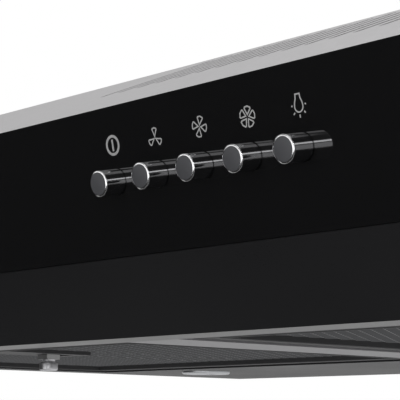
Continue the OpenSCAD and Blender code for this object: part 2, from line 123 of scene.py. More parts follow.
@dataclass(frozen=True)
class Finish:
    """A surface finish with procedural colour, roughness and relief."""

    name: str
    colour: Colour
    roughness: float
    metallic: float = 0.0
    grain: Grain = Grain.FINE
    scale: float = 400.0
    colour_spread: float = 0.08
    rough_spread: float = 0.06
    bump: float = 0.02
    ior: float = 1.5
    glow: float = 0.0
    blend_low: float = 0.3
    blend_high: float = 0.7

    def stretch(self) -> tuple[float, float, float]:
        """Works out the direction of brushed grain.

        Returns:
            The texture's scale along each axis.
        """
        along = 0.04
        if self.grain is Grain.BRUSHED_X:
            return (self.scale * along, self.scale, self.scale)
        if self.grain is Grain.BRUSHED_Y:
            return (self.scale, self.scale * along, self.scale)
        return (self.scale, self.scale, self.scale)

    def pattern(self, graph: Graph) -> bpy.types.NodeSocket:
        """Builds the grain's height field.

        Args:
            graph: the material's node graph.

        Returns:
            A socket that runs from 0 to 1.
        """
        place = graph.add("ShaderNodeTexCoord")
        mapping = graph.add("ShaderNodeMapping", Scale=self.stretch())
        graph.link(place.outputs["Object"], mapping.inputs["Vector"])
        if self.grain is Grain.SPANGLE:
            cells = graph.add("ShaderNodeTexVoronoi", Scale=1.0, Randomness=1.0)
            graph.link(mapping.outputs["Vector"], cells.inputs["Vector"])
            return cells.outputs["Distance"]
        detail = {Grain.MOULDED: 2.0, Grain.ORANGE_PEEL: 1.0, Grain.CAST: 6.0}.get(self.grain, 4.0)
        noise = graph.add("ShaderNodeTexNoise", Scale=1.0, Detail=detail, Roughness=0.6)
        graph.link(mapping.outputs["Vector"], noise.inputs["Vector"])
        return noise.outputs["Fac"]

    def worn(self, graph: Graph, height: bpy.types.NodeSocket) -> bpy.types.NodeSocket:
        """Mixes the grain evenly with large, soft patches of wear.

        Args:
            graph: the material's node graph.
            height: the grain's height field.

        Returns:
            A socket that runs from 0 to 1.
        """
        place = graph.add("ShaderNodeTexCoord")
        wear = graph.add("ShaderNodeTexNoise", Scale=9.0, Detail=5.0, Roughness=0.55)
        graph.link(place.outputs["Object"], wear.inputs["Vector"])
        half = graph.add("ShaderNodeMath", {"operation": "MULTIPLY"})
        half.inputs[1].default_value = 0.5
        graph.link(wear.outputs["Fac"], half.inputs[0])
        blend = graph.add("ShaderNodeMath", {"operation": "MULTIPLY_ADD"})
        blend.inputs[1].default_value = 0.5
        graph.link(height, blend.inputs[0])
        graph.link(half.outputs[0], blend.inputs[2])
        return blend.outputs[0]

    def tint(self, graph: Graph, blend: bpy.types.NodeSocket) -> bpy.types.NodeSocket:
        """Varies the colour a little, darker where the blend is low.

        Args:
            graph: the material's node graph.
            blend: the mix of grain and wear.

        Returns:
            The colour's socket.
        """
        ramp = graph.add("ShaderNodeValToRGB")
        low, high = ramp.color_ramp.elements
        low.position, high.position = self.blend_low, self.blend_high
        low.color = (*[c * (1 - self.colour_spread) for c in self.colour], 1)
        high.color = (*[min(1.0, c * (1 + self.colour_spread)) for c in self.colour], 1)
        graph.link(blend, ramp.inputs["Fac"])
        return ramp.outputs["Color"]

    def material(self) -> bpy.types.Material:
        """Builds the material, once for each name.

        Returns:
            The material.
        """
        known = bpy.data.materials.get(self.name)
        if known:
            return known
        made = bpy.data.materials.new(self.name)
        made.use_nodes = True
        graph = Graph(made.node_tree)
        out = graph.add("ShaderNodeOutputMaterial")
        shader = graph.add("ShaderNodeBsdfPrincipled", Metallic=self.metallic, IOR=self.ior)
        height = self.pattern(graph)
        blend = self.worn(graph, height)
        graph.link(self.tint(graph, blend), shader.inputs["Base Color"])
        rough = graph.add(
            "ShaderNodeMapRange", From_Min=self.blend_low, From_Max=self.blend_high,
            To_Min=max(0.0, self.roughness - self.rough_spread),
            To_Max=min(1.0, self.roughness + self.rough_spread),
        )
        graph.link(blend, rough.inputs["Value"])
        graph.link(rough.outputs["Result"], shader.inputs["Roughness"])
        relief = graph.add("ShaderNodeBump", Strength=self.bump, Distance=1 * MM)
        graph.link(height, relief.inputs["Height"])
        graph.link(relief.outputs["Normal"], shader.inputs["Normal"])
        if self.glow:
            shader.inputs["Emission Color"].default_value = (*self.colour, 1)
            shader.inputs["Emission Strength"].default_value = self.glow
        graph.link(shader.outputs["BSDF"], out.inputs["Surface"])
        return made


GLOSS_BLACK = Finish("gloss_black_enamel", (0.0062, 0.0062, 0.0066), 0.045, grain=Grain.ORANGE_PEEL,
                     scale=260, bump=0.0002, rough_spread=0.012, ior=1.6)
SATIN_BLACK_FRONT = Finish("satin_black_front_coat", (0.012, 0.012, 0.013), 0.3,
                           grain=Grain.FINE, scale=2600, bump=0.03, ior=1.5)
SATIN_BLACK = Finish("satin_black_coat", (0.022, 0.022, 0.024), 0.42, grain=Grain.FINE,
                     scale=2200, bump=0.04, ior=1.38)
GALVANISED = Finish("galvanised_sheet", (0.5, 0.49, 0.5), 0.34, 0.85, Grain.SPANGLE, 160,
                    colour_spread=0.05, rough_spread=0.05, bump=0.01)
ALUMINIUM = Finish("brushed_aluminium", (0.66, 0.67, 0.69), 0.36, 1.0, Grain.BRUSHED_X, 1800)
FRAME_GREY = Finish("grey_coated_frame", (0.044, 0.044, 0.046), 0.55, 0.1, Grain.BRUSHED_X,
                    1500, ior=1.42)
MESH_ALUMINIUM = Finish("mesh_aluminium", (0.118, 0.119, 0.123), 0.42, 1.0, Grain.FINE, 900,
                        colour_spread=0.12)
PACK_GREY = Finish("packed_mesh", (0.06, 0.06, 0.064), 0.6, 0.4, Grain.CAST, 1400,
                   colour_spread=0.2, bump=0.12, ior=1.25)
BAR_GREY = Finish("bar_grey_coat", (0.27, 0.265, 0.275), 0.38, 0.8, Grain.BRUSHED_Y, 1200)
SEAM_DARK = Finish("seam_shadow", (0.012, 0.012, 0.012), 0.8, scale=1500)
DAMPER_ALUMINIUM = Finish("damper_aluminium", (0.6, 0.61, 0.63), 0.4, 1.0, Grain.BRUSHED_Y, 1500)
PLATED = Finish("plated_steel", (0.55, 0.55, 0.56), 0.25, 1.0, Grain.FINE, 1400)
SATIN_CHROME = Finish("satin_chrome", (0.9, 0.9, 0.91), 0.34, 1.0, Grain.FINE, 1200)
ZINC = Finish("zinc_plate", (0.58, 0.59, 0.6), 0.32, 1.0, Grain.SPANGLE, 900, bump=0.01)
BLACK_PLASTIC = Finish("black_moulding", (0.02, 0.02, 0.02), 0.5, grain=Grain.MOULDED,
                       scale=1500, bump=0.08)
IVORY_PLASTIC = Finish("ivory_moulding", (0.72, 0.68, 0.56), 0.45, grain=Grain.MOULDED,
                       scale=1300, bump=0.06)
WHITE_PLASTIC = Finish("white_moulding", (0.78, 0.78, 0.77), 0.35, grain=Grain.MOULDED,
                       scale=1100, bump=0.05)
RUBBER = Finish("black_rubber", (0.015, 0.015, 0.015), 0.7, grain=Grain.MOULDED, scale=1700,
                bump=0.12)
MOTOR_STEEL = Finish("motor_steel", (0.35, 0.36, 0.38), 0.4, 0.9, Grain.CAST, 700, bump=0.05)
IMPELLER_STEEL = Finish("impeller_steel", (0.42, 0.43, 0.45), 0.4, 0.95, Grain.FINE, 900)
HEAT_SINK = Finish("heat_sink", (0.55, 0.56, 0.57), 0.42, 1.0, Grain.BRUSHED_Y, 1200)
LENS = Finish("frosted_lens", (0.86, 0.86, 0.84), 0.5, grain=Grain.FINE, scale=1800, bump=0.05,
              glow=0.55)
BRIGHT_CHROME = Finish("bright_chrome", (0.84, 0.85, 0.87), 0.05, 1.0, Grain.FINE, 900,
                       colour_spread=0.03, rough_spread=0.015, bump=0.0002)
BRIGHT_EDGE = Finish("bright_cut_edge", (0.9, 0.9, 0.91), 0.2, 1.0, Grain.FINE, 1500,
                     colour_spread=0.03, rough_spread=0.04, bump=0.004)
FACE_GREY = Finish("satin_face_grey", (0.075, 0.076, 0.083), 0.5, 0.2, Grain.FINE, 3200,
                   colour_spread=0.14, bump=0.04)
INK = Finish("pale_print", (0.36, 0.36, 0.36), 0.55, grain=Grain.FINE, scale=2500, bump=0.01)

SLOT_FINISH: dict[str, Finish] = {
    "galvanised_steel": GALVANISED, "satin_black_steel": SATIN_BLACK,
    "satin_black_front": SATIN_BLACK_FRONT, "gloss_black_panel": GLOSS_BLACK,
    "aluminium_frame": FRAME_GREY, "aluminium_mesh": MESH_ALUMINIUM,
    "black_plastic": BLACK_PLASTIC, "plated_steel": PLATED,
    "damper_aluminium": DAMPER_ALUMINIUM, "satin_chrome": SATIN_CHROME, "zinc_steel": ZINC,
    "ivory_plastic": IVORY_PLASTIC, "brushed_bezel": ALUMINIUM, "frosted_lens": LENS,
    "heat_sink_aluminium": HEAT_SINK, "motor_steel": MOTOR_STEEL,
    "white_plastic": WHITE_PLASTIC, "black_rubber": RUBBER, "impeller_steel": IMPELLER_STEEL,
    "bright_chrome": BRIGHT_CHROME, "button_face_grey": FACE_GREY,
}


def corners_of(node: str) -> tuple[Vector, Vector]:
    """Reads a CAD node's box.

    Args:
        node: the node's name.

    Returns:
        Its lowest and highest corners.
    """
    low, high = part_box(node)
    return Vector(low), Vector(high)


def centre(node: str) -> Vector:
    """Finds the middle of a CAD node's box.

    Args:
        node: the node's name.

    Returns:
        The point halfway between its corners.
    """
    low, high = corners_of(node)
    return (low + high) / 2


def upright(low: Vector, high: Vector, height: float) -> Matrix:
    """Upright frame on a box's middle line.

    Args:
        low: the box's lowest corner.
        high: its highest corner.
        height: how high the frame's origin lies.

    Returns:
        The local frame's matrix.
    """
    return Matrix.Translation(((low.x + high.x) / 2, (low.y + high.y) / 2, height))


def button_pitch() -> float:
    """Reads the buttons' spacing.

    Returns:
        The distance between two neighbouring buttons.
    """
    return centre("button_low").x - centre("button_power").x


def make_piece(name: str, bm: bmesh.types.BMesh, finish: Finish, body: str,
               smooth_angle: float = 40.0) -> bpy.types.Object:
    """Turns a bmesh into a finished piece that rides on a body.

    Args:
        name: the piece's name.
        bm: its geometry in the row frame, freed here.
        finish: its finish.
        body: the CAD body that it rides on.
        smooth_angle: edges sharper than this many degrees stay crisp.

    Returns:
        The new object.
    """
    bmesh.ops.recalc_face_normals(bm, faces=bm.faces)
    mesh = bpy.data.meshes.new(name)
    bm.to_mesh(mesh)
    bm.free()
    mesh.polygons.foreach_set("use_smooth", [True] * len(mesh.polygons))
    mesh.set_sharp_from_angle(angle=math.radians(smooth_angle))
    piece = bpy.data.objects.new(name, mesh)
    bpy.context.scene.collection.objects.link(piece)
    mesh.materials.append(finish.material())
    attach(piece, body)
    log.info("made %s on %s", name, body)
    return piece


def lathe(bm: bmesh.types.BMesh, profile: Profile, place: Matrix,
          segments: int = 96) -> list[bmesh.types.BMVert]:
    """Turns a profile about the local Z axis.

    Args:
        bm: the mesh to add to.
        profile: (radius, height) points; a radius of 0 closes the form.
        place: where the local frame lies.
        segments: steps round the axis.

    Returns:
        The last ring's vertices.
    """
    rings: list[list[bmesh.types.BMVert]] = []
    for radius, height in profile:
        if radius < 1e-7:
            rings.append([bm.verts.new(place @ Vector((0, 0, height)))])
            continue
        turn = [2 * math.pi * i / segments for i in range(segments)]
        rings.append([
            bm.verts.new(place @ Vector((radius * math.cos(a), radius * math.sin(a), height)))
            for a in turn
        ])
    for one, two in zip(rings, rings[1:]):
        for i in range(segments):
            j = (i + 1) % segments
            corners = [one[i % len(one)], one[j % len(one)], two[j % len(two)], two[i % len(two)]]
            unique = list(dict.fromkeys(corners))
            if len(unique) > 2:
                bm.faces.new(unique)
    return rings[-1]


def arc(cx: float, cy: float, radius: float, start: float, end: float,
        steps: int = 6) -> list[tuple[float, float]]:
    """Lists evenly spaced points on an arc.

    Args:
        cx: the centre's first coordinate.
        cy: the centre's second coordinate.
        radius: the arc's radius.
        start: its first angle in degrees.
        end: its last angle in degrees.
        steps: how many chords it has.

    Returns:
        The points, one more than the chords.
    """
    turn = [math.radians(start + (end - start) * i / steps) for i in range(steps + 1)]
    return [(cx + radius * math.cos(a), cy + radius * math.sin(a)) for a in turn]


def ribbon(bm: bmesh.types.BMesh, points: Profile, width: float, place: Matrix,
           closed: bool, thickness: float = 0.03 * MM) -> None:
    """Adds a flat printed stroke along a line in the local XY plane.

    Args:
        bm: the mesh to add to.
        points: the line's points.
        width: the stroke's width.
        place: where the local frame lies.
        closed: whether the line returns to its first point.
        thickness: how far the print stands up along local Z.
    """
    line = [Vector(p) for p in points]
    count = len(line)
    edges: list[tuple[Vector, Vector]] = []
    for i, here in enumerate(line):
        before = line[i - 1] if closed or i else here - (line[1] - here)
        after = line[(i + 1) % count] if closed or i < count - 1 else here + (here - line[i - 1])
        first, second = (here - before).normalized(), (after - here).normalized()
        normal = Vector((-(first + second).y, (first + second).x)).normalized()
        across = max(0.45, normal.dot(Vector((-first.y, first.x))))
        edges.append((here + normal * width / 2 / across, here - normal * width / 2 / across))
    rows = [
        [bm.verts.new(place @ Vector((p.x, p.y, z)))
         for p, z in ((a, 0), (a, thickness), (b, thickness), (b, 0))]
        for a, b in edges
    ]
    for i in range(count if closed else count - 1):
        one, two = rows[i], rows[(i + 1) % count]
        for k in range(4):
            bm.faces.new((one[k], one[(k + 1) % 4], two[(k + 1) % 4], two[k]))
    if not closed:
        bm.faces.new(rows[0])
        bm.faces.new(rows[-1])


@dataclass
class PanelFrame:
    """The control panel's own axes: right, up along its face, and out of it."""

    lean: float = field(init=False)
    origin: Vector = field(init=False)

    def __post_init__(self) -> None:
        """Reads the panel's lean, its face and the first button's axis from the frame."""
        press = next(j for j in frame["joints"] if j["name"] == "press_power")
        self.lean = math.atan2(press["axis"][2], press["axis"][1])
        out = -Vector(press["axis"])
        up = Vector((0, -math.sin(self.lean), math.cos(self.lean)))
        corners = [v.co for v in frame["nodes"]["control_fascia"].data.vertices]
        face = max(c.dot(out) for c in corners)
        heights = [c.dot(up) for c in corners if face - c.dot(out) < 0.01 * MM]
        middle = (min(heights) + max(heights)) / 2
        self.origin = out * face + up * middle + Vector((centre("button_power").x, 0, 0))

    def at(self, across: float, up: float, out: float = 0.0) -> Vector:
        """Finds a point on or over the panel.

        Args:
            across: how far it lies to the right of the first button's axis.
            up: how far it lies up the face from the face's middle.
            out: how far it stands out of the face.

        Returns:
            The point in the row frame.
        """
        return self.matrix() @ Vector((across, up, out))

    def matrix(self, across: float = 0.0, up: float = 0.0) -> Matrix:
        """Frame with X to the right, Y up the panel and Z out of it.

        Args:
            across: shift to the right of the first button.
            up: shift up the face.

        Returns:
            The local frame's matrix.
        """
        turn = Matrix.Rotation(math.pi / 2 + self.lean, 4, "X")
        return Matrix.Translation(self.origin) @ turn @ Matrix.Translation((across, up, 0))


@dataclass
class CadDressing:
    """Finishes for every CAD node, and softened edges on the folded and moulded ones."""

    edge: dict[str, float] = field(default_factory=lambda: {
        "lower_fascia": 0.3, "top_shell": 0.25, "centre_bar": 0.3,
        "rear_panel": 0.25, "side_panel_left": 0.2, "side_panel_right": 0.2, "back_panel": 0.2,
        "switch_block": 0.4, "button_guide": 0.4, "terminal_box": 0.6, "terminal_cover": 0.5,
        "capacitor": 0.8, "outlet_collar": 0.3, "motor_can": 1.2, "motor_mount": 0.4,
    })

    special: dict[str, Finish] = field(default_factory=lambda: {
        "centre_bar": BAR_GREY, "latch_housing_left": FRAME_GREY, "latch_housing_right": FRAME_GREY,
    })

    def build(self) -> None:
        """Rounds the listed nodes' edges with a bevel modifier."""
        for node, width in self.edge.items():
            bevel = frame["nodes"][node].modifiers.new("edge", "BEVEL")
            bevel.width = width * MM
            bevel.segments = 2
            bevel.limit_method = "ANGLE"
            bevel.angle_limit = math.radians(40)
            bevel.harden_normals = True

    def dress(self) -> None:
        """Gives every CAD node its slot's finish."""
        for part in frame["record"]["subparts"]:
            node = frame["nodes"][part["node"]]
            finish = self.special.get(part["node"], SLOT_FINISH[part["material_slot"]])
            if not node.material_slots:
                node.data.materials.append(None)
            for material_slot in node.material_slots:
                material_slot.material = finish.material()
            log.info("finished %s with %s", part["node"], finish.name)


@dataclass
class Buttons:
    """Five push buttons: chrome barrels, bright cut rims and satin grey faces."""

    names: tuple[str, ...] = ("power", "low", "medium", "high", "lamp")
    radius: float = 5.05 * MM
    rim: float = 0.62 * MM
    rim_drop: float = 0.28 * MM
    soft: float = 0.14 * MM
    seat: float = 0.3 * MM
    inner: float = 10.5 * MM
    stem_step: float = 3.2 * MM
    stem: float = 6 * MM
    disc: float = 0.8 * MM
    hairline: float = 0.02 * MM

    def build(self, panel: PanelFrame) -> None:
        """Makes each button's barrel, rim and face.

        Args:
            panel: the control panel's axes.
        """
        face_point = panel.matrix().inverted() @ centre("button_face_power")
        out = face_point.z + self.disc / 2
        for i, name in enumerate(self.names):
            place = panel.matrix(i * button_pitch())
            self.barrel(place, name, out)
            self.face(place, name, out)

    def barrel(self, place: Matrix, name: str, out: float) -> None:
        """Barrel with its rounded shoulder, and the stem behind it, then the bright rim.

        Args:
            place: the button's frame.
            name: which button.
            out: how far the face stands out of the panel.
        """
        edge = out - self.rim_drop
        shoulder = edge - self.soft
        neck = self.radius - self.stem_step
        bm = bmesh.new()
        lathe(bm, [
            (neck, -self.inner - self.stem), (neck, -self.inner),
            (self.radius, -self.inner), (self.radius, self.hairline - self.inner),
            (self.radius, shoulder - self.hairline),
            *arc(self.radius - self.soft, shoulder, self.soft, 0, 90, 6),
            (self.radius - self.seat, edge),
        ], place, 192)
        barrel = make_piece(f"button_barrel_{name}", bm, BRIGHT_CHROME, f"button_{name}")
        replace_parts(barrel, f"button_{name}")
        rim = bmesh.new()
        inner = self.radius - self.rim
        lathe(rim, [
            (self.radius - self.seat, edge - self.hairline), (self.radius - self.hairline, edge),
            (self.radius - 0.1 * MM, edge + 0.07 * MM),
            (inner + 0.1 * MM, out - self.hairline), (inner, out),
            (inner - self.hairline, out - 0.15 * MM),
        ], place, 128)
        make_piece(f"button_rim_{name}", rim, BRIGHT_EDGE, f"button_{name}", 25)

    def face(self, place: Matrix, name: str, out: float) -> None:
        """Flat inset disc with a hairline step at its edge.

        Args:
            place: the button's frame.
            name: which button.
            out: how far the face stands out of the panel.
        """
        edge = self.radius - self.rim - 0.03 * MM
        bm = bmesh.new()
        lathe(bm, [
            (0, out - 0.04 * MM), (edge - 0.12 * MM, out - 0.04 * MM),
            (edge, out - 0.1 * MM), (edge, out - 0.7 * MM), (0, out - 0.7 * MM),
        ], place, 128)
        disc = make_piece(f"button_disc_{name}", bm, FACE_GREY, f"button_{name}")
        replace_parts(disc, f"button_face_{name}")


@dataclass
class PanelSymbols:
    """Printed symbols over the buttons: on and off, three fan speeds, and the lamp."""

    up: float = 14.2 * MM
    shift: float = 0.3 * MM
    drift: float = 0.15 * MM
    stroke: float = 0.53 * MM
    ring: float = 3.55 * MM
    ring_stroke: float = 1.05 * MM
    bar: float = 2.3 * MM
    bar_stroke: float = 0.95 * MM
    fan_radius: float = 3.75 * MM
    blades: tuple[int, ...] = (3, 4, 5)

    def build(self, panel: PanelFrame) -> None:
        """Prints each symbol over its button.

        Args:
            panel: the control panel's axes.
        """
        step = button_pitch() + self.drift
        draw: list[Callable[[bmesh.types.BMesh, Matrix], None]] = [self.power]
        draw += [lambda bm, place, n=n: self.fan(bm, place, n) for n in self.blades]
        draw.append(self.bulb)
        labels = ("power", *(f"fan_{n}" for n in self.blades), "lamp")
        for i, (label, symbol) in enumerate(zip(labels, draw)):
            bm = bmesh.new()
            symbol(bm, panel.matrix(i * step + self.shift, self.up))
            make_piece(f"symbol_{label}", bm, INK, "canopy")

    def power(self, bm: bmesh.types.BMesh, place: Matrix) -> None:
        """Draws a ring with an upright bar.

        Args:
            bm: the mesh to add to.
            place: the symbol's frame.
        """
        ring = arc(0, 0, self.ring, 0, 360 - 7.5, 47)
        ribbon(bm, ring, self.ring_stroke, place, True)
        ribbon(bm, [(0, -self.bar), (0, self.bar)], self.bar_stroke, place, False)

    def fan(self, bm: bmesh.types.BMesh, place: Matrix, count: int) -> None:
        """Fan of outlined blades that meet in the middle.

        Args:
            bm: the mesh to add to.
            place: the symbol's frame.
            count: the number of blades.
        """
        reach = self.fan_radius
        half = math.radians(12 + 2.8 * count)
        tilt = math.radians(9 if count == 5 else 13 * count - 36)
        outline = [(0.045 * count, 0.0), (0.52, 0.8), (0.88, 1.0), (0.98, 0.82), (1.02, 0.0),
                   (0.98, -0.82), (0.88, -1.0), (0.52, -0.8)]
        drop = 0.32 * reach * (1 - math.cos(math.pi / count)) * (count % 2)
        hub = place @ Matrix.Translation((0, -drop, 0))
        for blade in range(count):
            turn = math.pi / 2 - tilt - 2 * math.pi * blade / count
            points = [
                (reach * r * math.cos(turn + a * half), reach * r * math.sin(turn + a * half))
                for r, a in outline
            ]
            ribbon(bm, points, self.stroke, hub, True)

    def bulb(self, bm: bmesh.types.BMesh, place: Matrix) -> None:
        """Draws a lamp that points down, with five rays.

        Args:
            bm: the mesh to add to.
            place: the symbol's frame.
        """
        low = -0.4 * MM
        belly = arc(0, low, 1.95 * MM, 0, -180, 16)
        left = [(-1.75 * MM, 0.9 * MM), (-1.15 * MM, 2.4 * MM), (-1.0 * MM, 3.9 * MM)]
        right = [(-x, y) for x, y in reversed(left)]
        ribbon(bm, [*belly, *left, *right], self.stroke, place, True)
        for angle, start, end in ((8, 2.9, 3.5), (-42, 2.9, 3.8), (-90, 2.8, 3.9),
                                  (-138, 2.9, 3.8), (172, 2.9, 3.5)):
            a = math.radians(angle)
            ribbon(bm, [(r * MM * math.cos(a), r * MM * math.sin(a) + low)
                        for r in (start, end)], self.stroke * 1.1, place, False)


def picture_rail(bm: bmesh.types.BMesh, low: Vector, high: Vector, profile: Profile) -> None:
    """Runs a closed profile round a level rectangle, with mitred corners.

    Args:
        bm: the mesh to add to.
        low: the rectangle's lowest corner, which also sets its height.
        high: its highest corner.
        profile: (out, up) points from the rectangle's edge.
    """
    rings: list[list[bmesh.types.BMVert]] = []
    for sx, sy in ((-1, -1), (1, -1), (1, 1), (-1, 1)):
        x = high.x if sx > 0 else low.x
        y = high.y if sy > 0 else low.y
        rings.append([
            bm.verts.new((x + sx * out, y + sy * out, low.z + up)) for out, up in profile
        ])
    for i, one in enumerate(rings):
        two = rings[(i + 1) % 4]
        for k in range(len(profile)):
            after = (k + 1) % len(profile)
            bm.faces.new((one[k], two[k], two[after], one[after]))


@dataclass
class Filters:
    """Expanded aluminium packs, rolled hems, corner seams and the small pulls."""

    cell_across: float = 6.4 * MM
    cell_along: float = 10.0 * MM
    strand: float = 1.15 * MM
    strand_thick: float = 0.5 * MM
    tilt: float = 40.0
    layers: tuple[float, ...] = (0.7 * MM, 2.1 * MM)
    pad_height: float = 3.3 * MM
    pad_sheet: float = 0.5 * MM
    pad_cells: tuple[int, int] = (76, 56)
    crumple: float = 0.25 * MM
    clear: float = 0.5 * MM
    hem: float = 0.7 * MM

    def build(self) -> None:
        """Makes both filters' pieces."""
        for side in Side:
            for layer, height in enumerate(self.layers):
                self.weave(side, layer, height)
            self.pad(side)
            self.edge(side)
            self.pull(side)

    def line(self, bm: bmesh.types.BMesh, x: float, start: float, end: float, z: float,
             phase: int) -> None:
        """Adds one zigzag strand that runs from front to back.

        Args:
            bm: the mesh to add to.
            x: the strand's middle.
            start: its front end.
            end: its rear end.
            z: its height.
            phase: which way its first zigzag leans.
        """
        steps = round((end - start) / (self.cell_along / 2))
        pitch = (end - start) / steps
        turn = math.radians(self.tilt)
        wide, thick = self.strand / 2, self.strand_thick / 2
        section = [
            (a * wide * math.cos(turn) - b * thick * math.sin(turn),
             a * wide * math.sin(turn) + b * thick * math.cos(turn))
            for a, b in ((-1, -1), (1, -1), (1, 1), (-1, 1))
        ]
        rings: list[list[bmesh.types.BMVert]] = []
        for i in range(steps + 1):
            lean = self.cell_across / 4 * (1 if (i + phase) % 2 else -1)
            rings.append([
                bm.verts.new((x + lean + dx, start + i * pitch, z + dz)) for dx, dz in section
            ])
        for one, two in zip(rings, rings[1:]):
            for k in range(4):
                bm.faces.new((one[k], one[(k + 1) % 4], two[(k + 1) % 4], two[k]))
        bm.faces.new(rings[0])
        bm.faces.new(rings[-1])

    def weave(self, side: Side, layer: int, height: float) -> None:
        """Makes one layer of expanded metal, cut away round the latch.

        Args:
            side: which filter.
            layer: 0 is the lowest.
            height: the layer's height over the pack's lower face.
        """
        low, high = corners_of(f"filter_mesh_{side.value}")
        latch_low, latch_high = corners_of(f"latch_housing_{side.value}")
        reach = self.cell_across / 4 + self.strand / 2
        rows = int((high.x - low.x - 2 * reach) / (self.cell_across / 2))
        spacing = (high.x - low.x - 2 * reach) / rows
        bm = bmesh.new()
        for row in range(rows + 1):
            x = low.x + reach + row * spacing
            beside = latch_low.x - reach < x < latch_high.x + reach
            start = latch_high.y + self.clear if beside else low.y
            self.line(bm, x, start, high.y, low.z + height, row + layer)
        piece = make_piece(f"filter_weave_{side.value}_{layer + 1}", bm, MESH_ALUMINIUM,
                           f"filter_{side.value}")
        if layer == 0:
            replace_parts(piece, f"filter_mesh_{side.value}")

    def pad(self, side: Side) -> None:
        """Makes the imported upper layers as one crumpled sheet, cut away round the latch.

        Args:
            side: which filter.
        """
        low, high = corners_of(f"filter_mesh_{side.value}")
        latch_low, latch_high = corners_of(f"latch_housing_{side.value}")
        bm = bmesh.new()
        across, along = self.pad_cells
        bmesh.ops.create_grid(bm, x_segments=across, y_segments=along, size=0.5)
        span = high - low
        for vert in bm.verts:
            x = low.x + (vert.co.x + 0.5) * span.x
            y = low.y + (vert.co.y + 0.5) * span.y
            wave = math.sin(x * 1500) * math.sin(y * 1100 + math.sin(x * 700))
            vert.co = (x, y, low.z + self.pad_height + self.crumple * wave)
        hidden = [
            f for f in bm.faces
            if latch_low.x - self.clear < f.calc_center_median().x < latch_high.x + self.clear
            and f.calc_center_median().y < latch_high.y + self.clear
        ]
        bmesh.ops.delete(bm, geom=hidden, context="FACES")
        bmesh.ops.solidify(bm, geom=bm.faces[:], thickness=self.pad_sheet)
        make_piece(f"filter_pad_{side.value}", bm, PACK_GREY, f"filter_{side.value}")

    def edge(self, side: Side) -> None:
        """Makes the rolled hem round the pack and the mitre seams of the frame.

        Args:
            side: which filter.
        """
        low, high = corners_of(f"filter_mesh_{side.value}")
        frame_low, frame_high = corners_of(f"filter_frame_{side.value}")
        low.z = frame_low.z
        bm = bmesh.new()
        roll = arc(1.2 * self.hem, 0.4 * self.hem, self.hem, 0, 360 - 30, 11)
        picture_rail(bm, low, high, roll)
        make_piece(f"filter_hem_{side.value}", bm, FRAME_GREY, f"filter_{side.value}",
                   60)
        border = frame_high.y - high.y
        seams = bmesh.new()
        for x, sx in ((low.x, -1), (high.x, 1)):
            for y, sy in ((low.y, -1), (high.y, 1)):
                place = Matrix.Translation((x, y, frame_low.z)) @ Matrix.Rotation(math.pi, 4, "X")
                line = [(sx * out, -sy * out) for out in (2.4 * self.hem, border - 0.3 * MM)]
                ribbon(seams, line, 0.16 * MM, place, False, 0.02 * MM)
        make_piece(f"filter_seams_{side.value}", seams, SEAM_DARK, f"filter_{side.value}")

    def pull(self, side: Side) -> None:
        """Makes the turned pull with its neck, rounded rim and dished end.

        Args:
            side: which filter.
        """
        low, high = corners_of(f"latch_knob_{side.value}")
        radius, length = (high.x - low.x) / 2, high.z - low.z
        soft = 0.9 * MM
        place = upright(low, high, high.z)
        bm = bmesh.new()
        lathe(bm, [
            (0, 0), (radius - 1.4 * MM, 0), (radius - 1.6 * MM, -0.7 * MM),
            *arc(radius - 0.6 * MM, -2.0 * MM, 0.6 * MM, 120, 0, 5),
            *arc(radius - soft, soft - length, soft, 0, -90, 8),
            (radius - 2.0 * MM, -length), (radius - 2.5 * MM, 0.25 * MM - length),
            (0, 0.4 * MM - length),
        ], place, 64)
        piece = make_piece(f"latch_pull_{side.value}", bm, SATIN_CHROME, f"latch_{side.value}")
        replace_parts(piece, f"latch_knob_{side.value}")


@dataclass
class Lamps:
    """Turned bezel and ribbed lens of each lamp."""

    ribs: int = 5
    rib_depth: float = 0.3 * MM
    flange: float = 1.6 * MM
    tube_step: float = 4.3 * MM
    tube_wall: float = 2.7 * MM
    hole_step: float = 8 * MM

    def build(self) -> None:
        """Makes both lamps' pieces."""
        for side in Side:
            self.bezel(side)
            self.lens(side)

    def bezel(self, side: Side) -> None:
        """Rounded ring under the panel with its tube through the hole.

        Args:
            side: which lamp.
        """
        node = f"lamp_bezel_{side.value}"
        low, high = corners_of(node)
        radius, length = (high.x - low.x) / 2, high.z - low.z
        tube, hole = radius - self.tube_step, radius - self.hole_step
        bore, seat = tube - self.tube_wall, self.flange + 0.1 * MM
        place = upright(low, high, low.z)
        bm = bmesh.new()
        lathe(bm, [
            (hole, seat), *arc(hole + 0.4 * MM, 0.4 * MM, 0.4 * MM, 180, 270, 5),
            *arc(radius - 1.1 * MM, 1.1 * MM, 1.1 * MM, -90, 0, 7), (radius, self.flange),
            (tube, self.flange), (tube, length), (bore, length), (bore, seat), (hole, seat),
        ], place)
        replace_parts(make_piece(f"lamp_ring_{side.value}", bm, ALUMINIUM, "canopy"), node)

    def lens(self, side: Side) -> None:
        """Frosted disc with shallow rings on its lower face.

        Args:
            side: which lamp.
        """
        node = f"lamp_lens_{side.value}"
        low, high = corners_of(node)
        radius = (high.x - low.x) / 2
        place = upright(low, high, low.z)
        step = (radius - 0.6 * MM) / (2 * self.ribs)
        rings = [(step * (k + 1), self.rib_depth * (k % 2)) for k in range(2 * self.ribs)]
        bm = bmesh.new()
        lathe(bm, [
            (0, 0.1 * MM), *rings, (radius, 0.3 * MM), (radius, high.z - low.z),
            (0, high.z - low.z),
        ], place)
        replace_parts(make_piece(f"lamp_glass_{side.value}", bm, LENS, "canopy"),
                    node)


